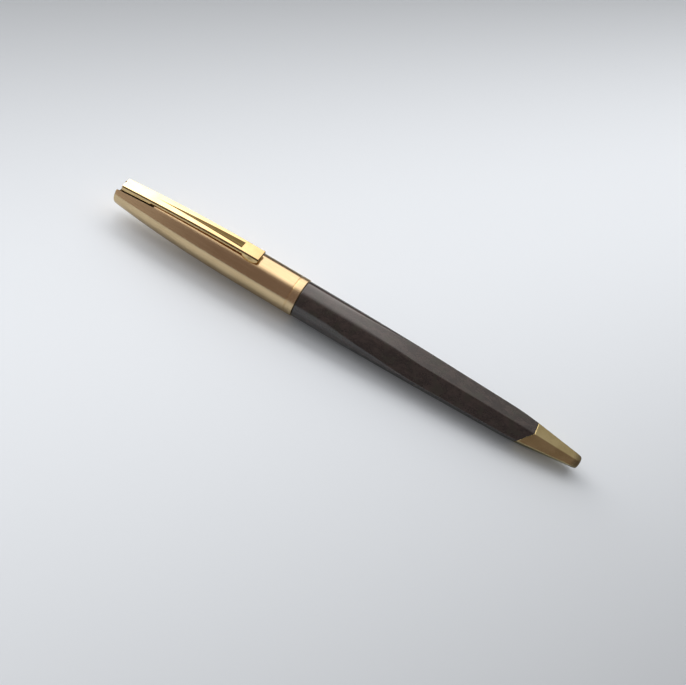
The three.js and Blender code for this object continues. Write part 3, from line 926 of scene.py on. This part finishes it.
table = {
    "size": 3.0,
    "colour": (0.905, 0.925, 0.945),
    "fadeAlong": (-0.775, 0.632, 0.0),  # the pool of light ends this way and the other
    "farFade": (0.032, 0.215, 0.35),
    "nearFade": (-0.200, 0.030, 0.35),
    "inGloss": 0.66,  # share of the table's brightness that shows in gloss
    "glossFade": (0.010, 0.045, 0.2),  # the same past the far side of the pen
    "lift": 0.03,
}

sky = {
    "ends": [  # brightness by the X part of the direction
        (-1.0, 6.0), (-0.62, 6.0), (-0.52, 3.3), (-0.35, 2.2), (-0.2, 1.3), (-0.07, 1.6),
        (0.0, 1.25), (0.08, 0.62), (0.2, 0.44), (0.36, 0.36), (0.6, 0.3), (1.0, 0.3),
    ],
    "near": (0.17, 0.13, 0.125),  # what the metal reflects on the near side
    "nearEnd": (0.36, 0.31, 0.30),  # the same beyond the cap's end
    "nearEndReach": (-0.60, -0.28),
    "tone": (1.0, 0.93, 0.90),
    "backdrop": (0.86, 0.88, 0.91),
    "farEdge": (-0.34, 0.17),
    "horizonEdge": (0.16, 0.26),
    "matte": [  # light on matte surfaces by its slope across the pen, near side to far side
        (-1.0, 0.17), (-0.45, 0.20), (-0.3, 0.33), (-0.1, 0.45), (0.13, 0.50), (0.34, 0.55),
        (0.44, 0.95), (0.50, 2.7), (0.66, 2.7), (0.72, 1.3), (0.84, 0.8), (1.0, 0.5),
    ],
    "matteEnds": (1.85, 0.32),  # towards the closed end and towards the point
    "matteTone": (0.99, 1.0, 1.02),
    "matteBox": (4.9, 4.9, 5.0),  # the light beyond the closed end
    "matteBoxReach": (-0.86, -0.58),
    "matteBoxSide": (-0.06, 0.08),
}


def makeTable(p):
    half = p["size"] / 2
    mesh = bpy.data.meshes.new("table")
    corners = [(-half, -half, 0), (half, -half, 0), (half, half, 0), (-half, half, 0)]
    mesh.from_pydata(corners, [], [(0, 1, 2, 3)])
    floor = bpy.data.objects.new("table", mesh)
    bpy.context.scene.collection.objects.link(floor)
    material, m = newMaterial("table top")
    place = m.add("ShaderNodeTexCoord", output=3)
    sockets = {0: place, 1: p["fadeAlong"]}
    depth = m.add("ShaderNodeVectorMath", {"operation": "DOT_PRODUCT"}, sockets, output=1)
    farLow, farHigh, farLeft = p["farFade"]
    nearLow, nearHigh, nearLeft = p["nearFade"]
    pool = m.ranged(depth, farLow, farHigh, 1.0, farLeft)
    pool = pool * m.ranged(depth, nearLow, nearHigh, nearLeft, 1.0)
    side = m.split(place)[1]
    glossLow, glossHigh, glossLeft = p["glossFade"]
    inGloss = m.ranged(side, glossLow, glossHigh, 1.0, glossLeft) * p["inGloss"]
    cameraRay = m.add("ShaderNodeLightPath", output=0)
    glossyRay = m.add("ShaderNodeLightPath", output=3)
    colour = m.mixed(pool * (1 + glossyRay * (inGloss - 1)), (0, 0, 0), p["colour"])
    matte = m.add("ShaderNodeBsdfDiffuse", sockets={"Color": colour})
    glow = m.add("ShaderNodeEmission", sockets={"Color": colour, "Strength": cameraRay * p["lift"]})
    both = m.add("ShaderNodeAddShader", sockets={0: matte, 1: glow})
    m.add("ShaderNodeOutputMaterial", sockets={"Surface": both})
    wear(floor, material)


def rampLight(m, value, steps, tone):
    # A light level that follows a value from -1 to 1
    most = max(level for _, level in steps)
    stops = [((place + 1) / 2, (level / most,) * 3) for place, level in steps]
    level = m.add("ShaderNodeValToRGB", {"stops": stops}, {"Fac": value * 0.5 + 0.5})
    return m.mixed(1.0, level, [most * part for part in tone], "MULTIPLY")


def makeSky(p):
    world = bpy.data.worlds.new("studio")
    bpy.context.scene.world = world
    world.use_nodes = True
    m = Maker(world.node_tree)
    direction = m.add("ShaderNodeTexCoord", output=0)
    x, y, z = m.split(direction)
    raised = m.ranged(z, *p["horizonEdge"], 0.0, 1.0)
    far = m.ranged(y, *p["farEdge"], 0.0, 1.0) * raised
    ending = m.ranged(x, *p["nearEndReach"], 1.0, 0.0)
    nearSide = m.mixed(ending, p["near"], p["nearEnd"])
    inGloss = m.mixed(far, nearSide, rampLight(m, x, p["ends"], p["tone"]))
    slope = y / (1.0001 - x * x) ** 0.5
    onMatte = rampLight(m, slope, p["matte"], p["matteTone"])
    shift = m.ranged(x, -1, 1, *p["matteEnds"], smooth=False)
    onMatte = m.add("ShaderNodeVectorMath", {"operation": "SCALE"}, {0: onMatte, "Scale": shift})
    box = m.ranged(x, *p["matteBoxReach"], 1.0, 0.0) * m.ranged(y, *p["matteBoxSide"], 0.0, 1.0)
    glossyRay = m.add("ShaderNodeLightPath", output=3)
    light = m.mixed(glossyRay, m.mixed(box, onMatte, p["matteBox"]), inGloss)
    cameraRay = m.add("ShaderNodeLightPath", output=0)
    shown = m.mixed(cameraRay, light, p["backdrop"])
    glow = m.add("ShaderNodeBackground", sockets={"Color": shown, "Strength": 1.0})
    m.add("ShaderNodeOutputWorld", sockets={"Surface": glow})


makeTable(table)
makeSky(sky)
bpy.context.scene.view_settings.view_transform = "Standard"
print("table and light made")
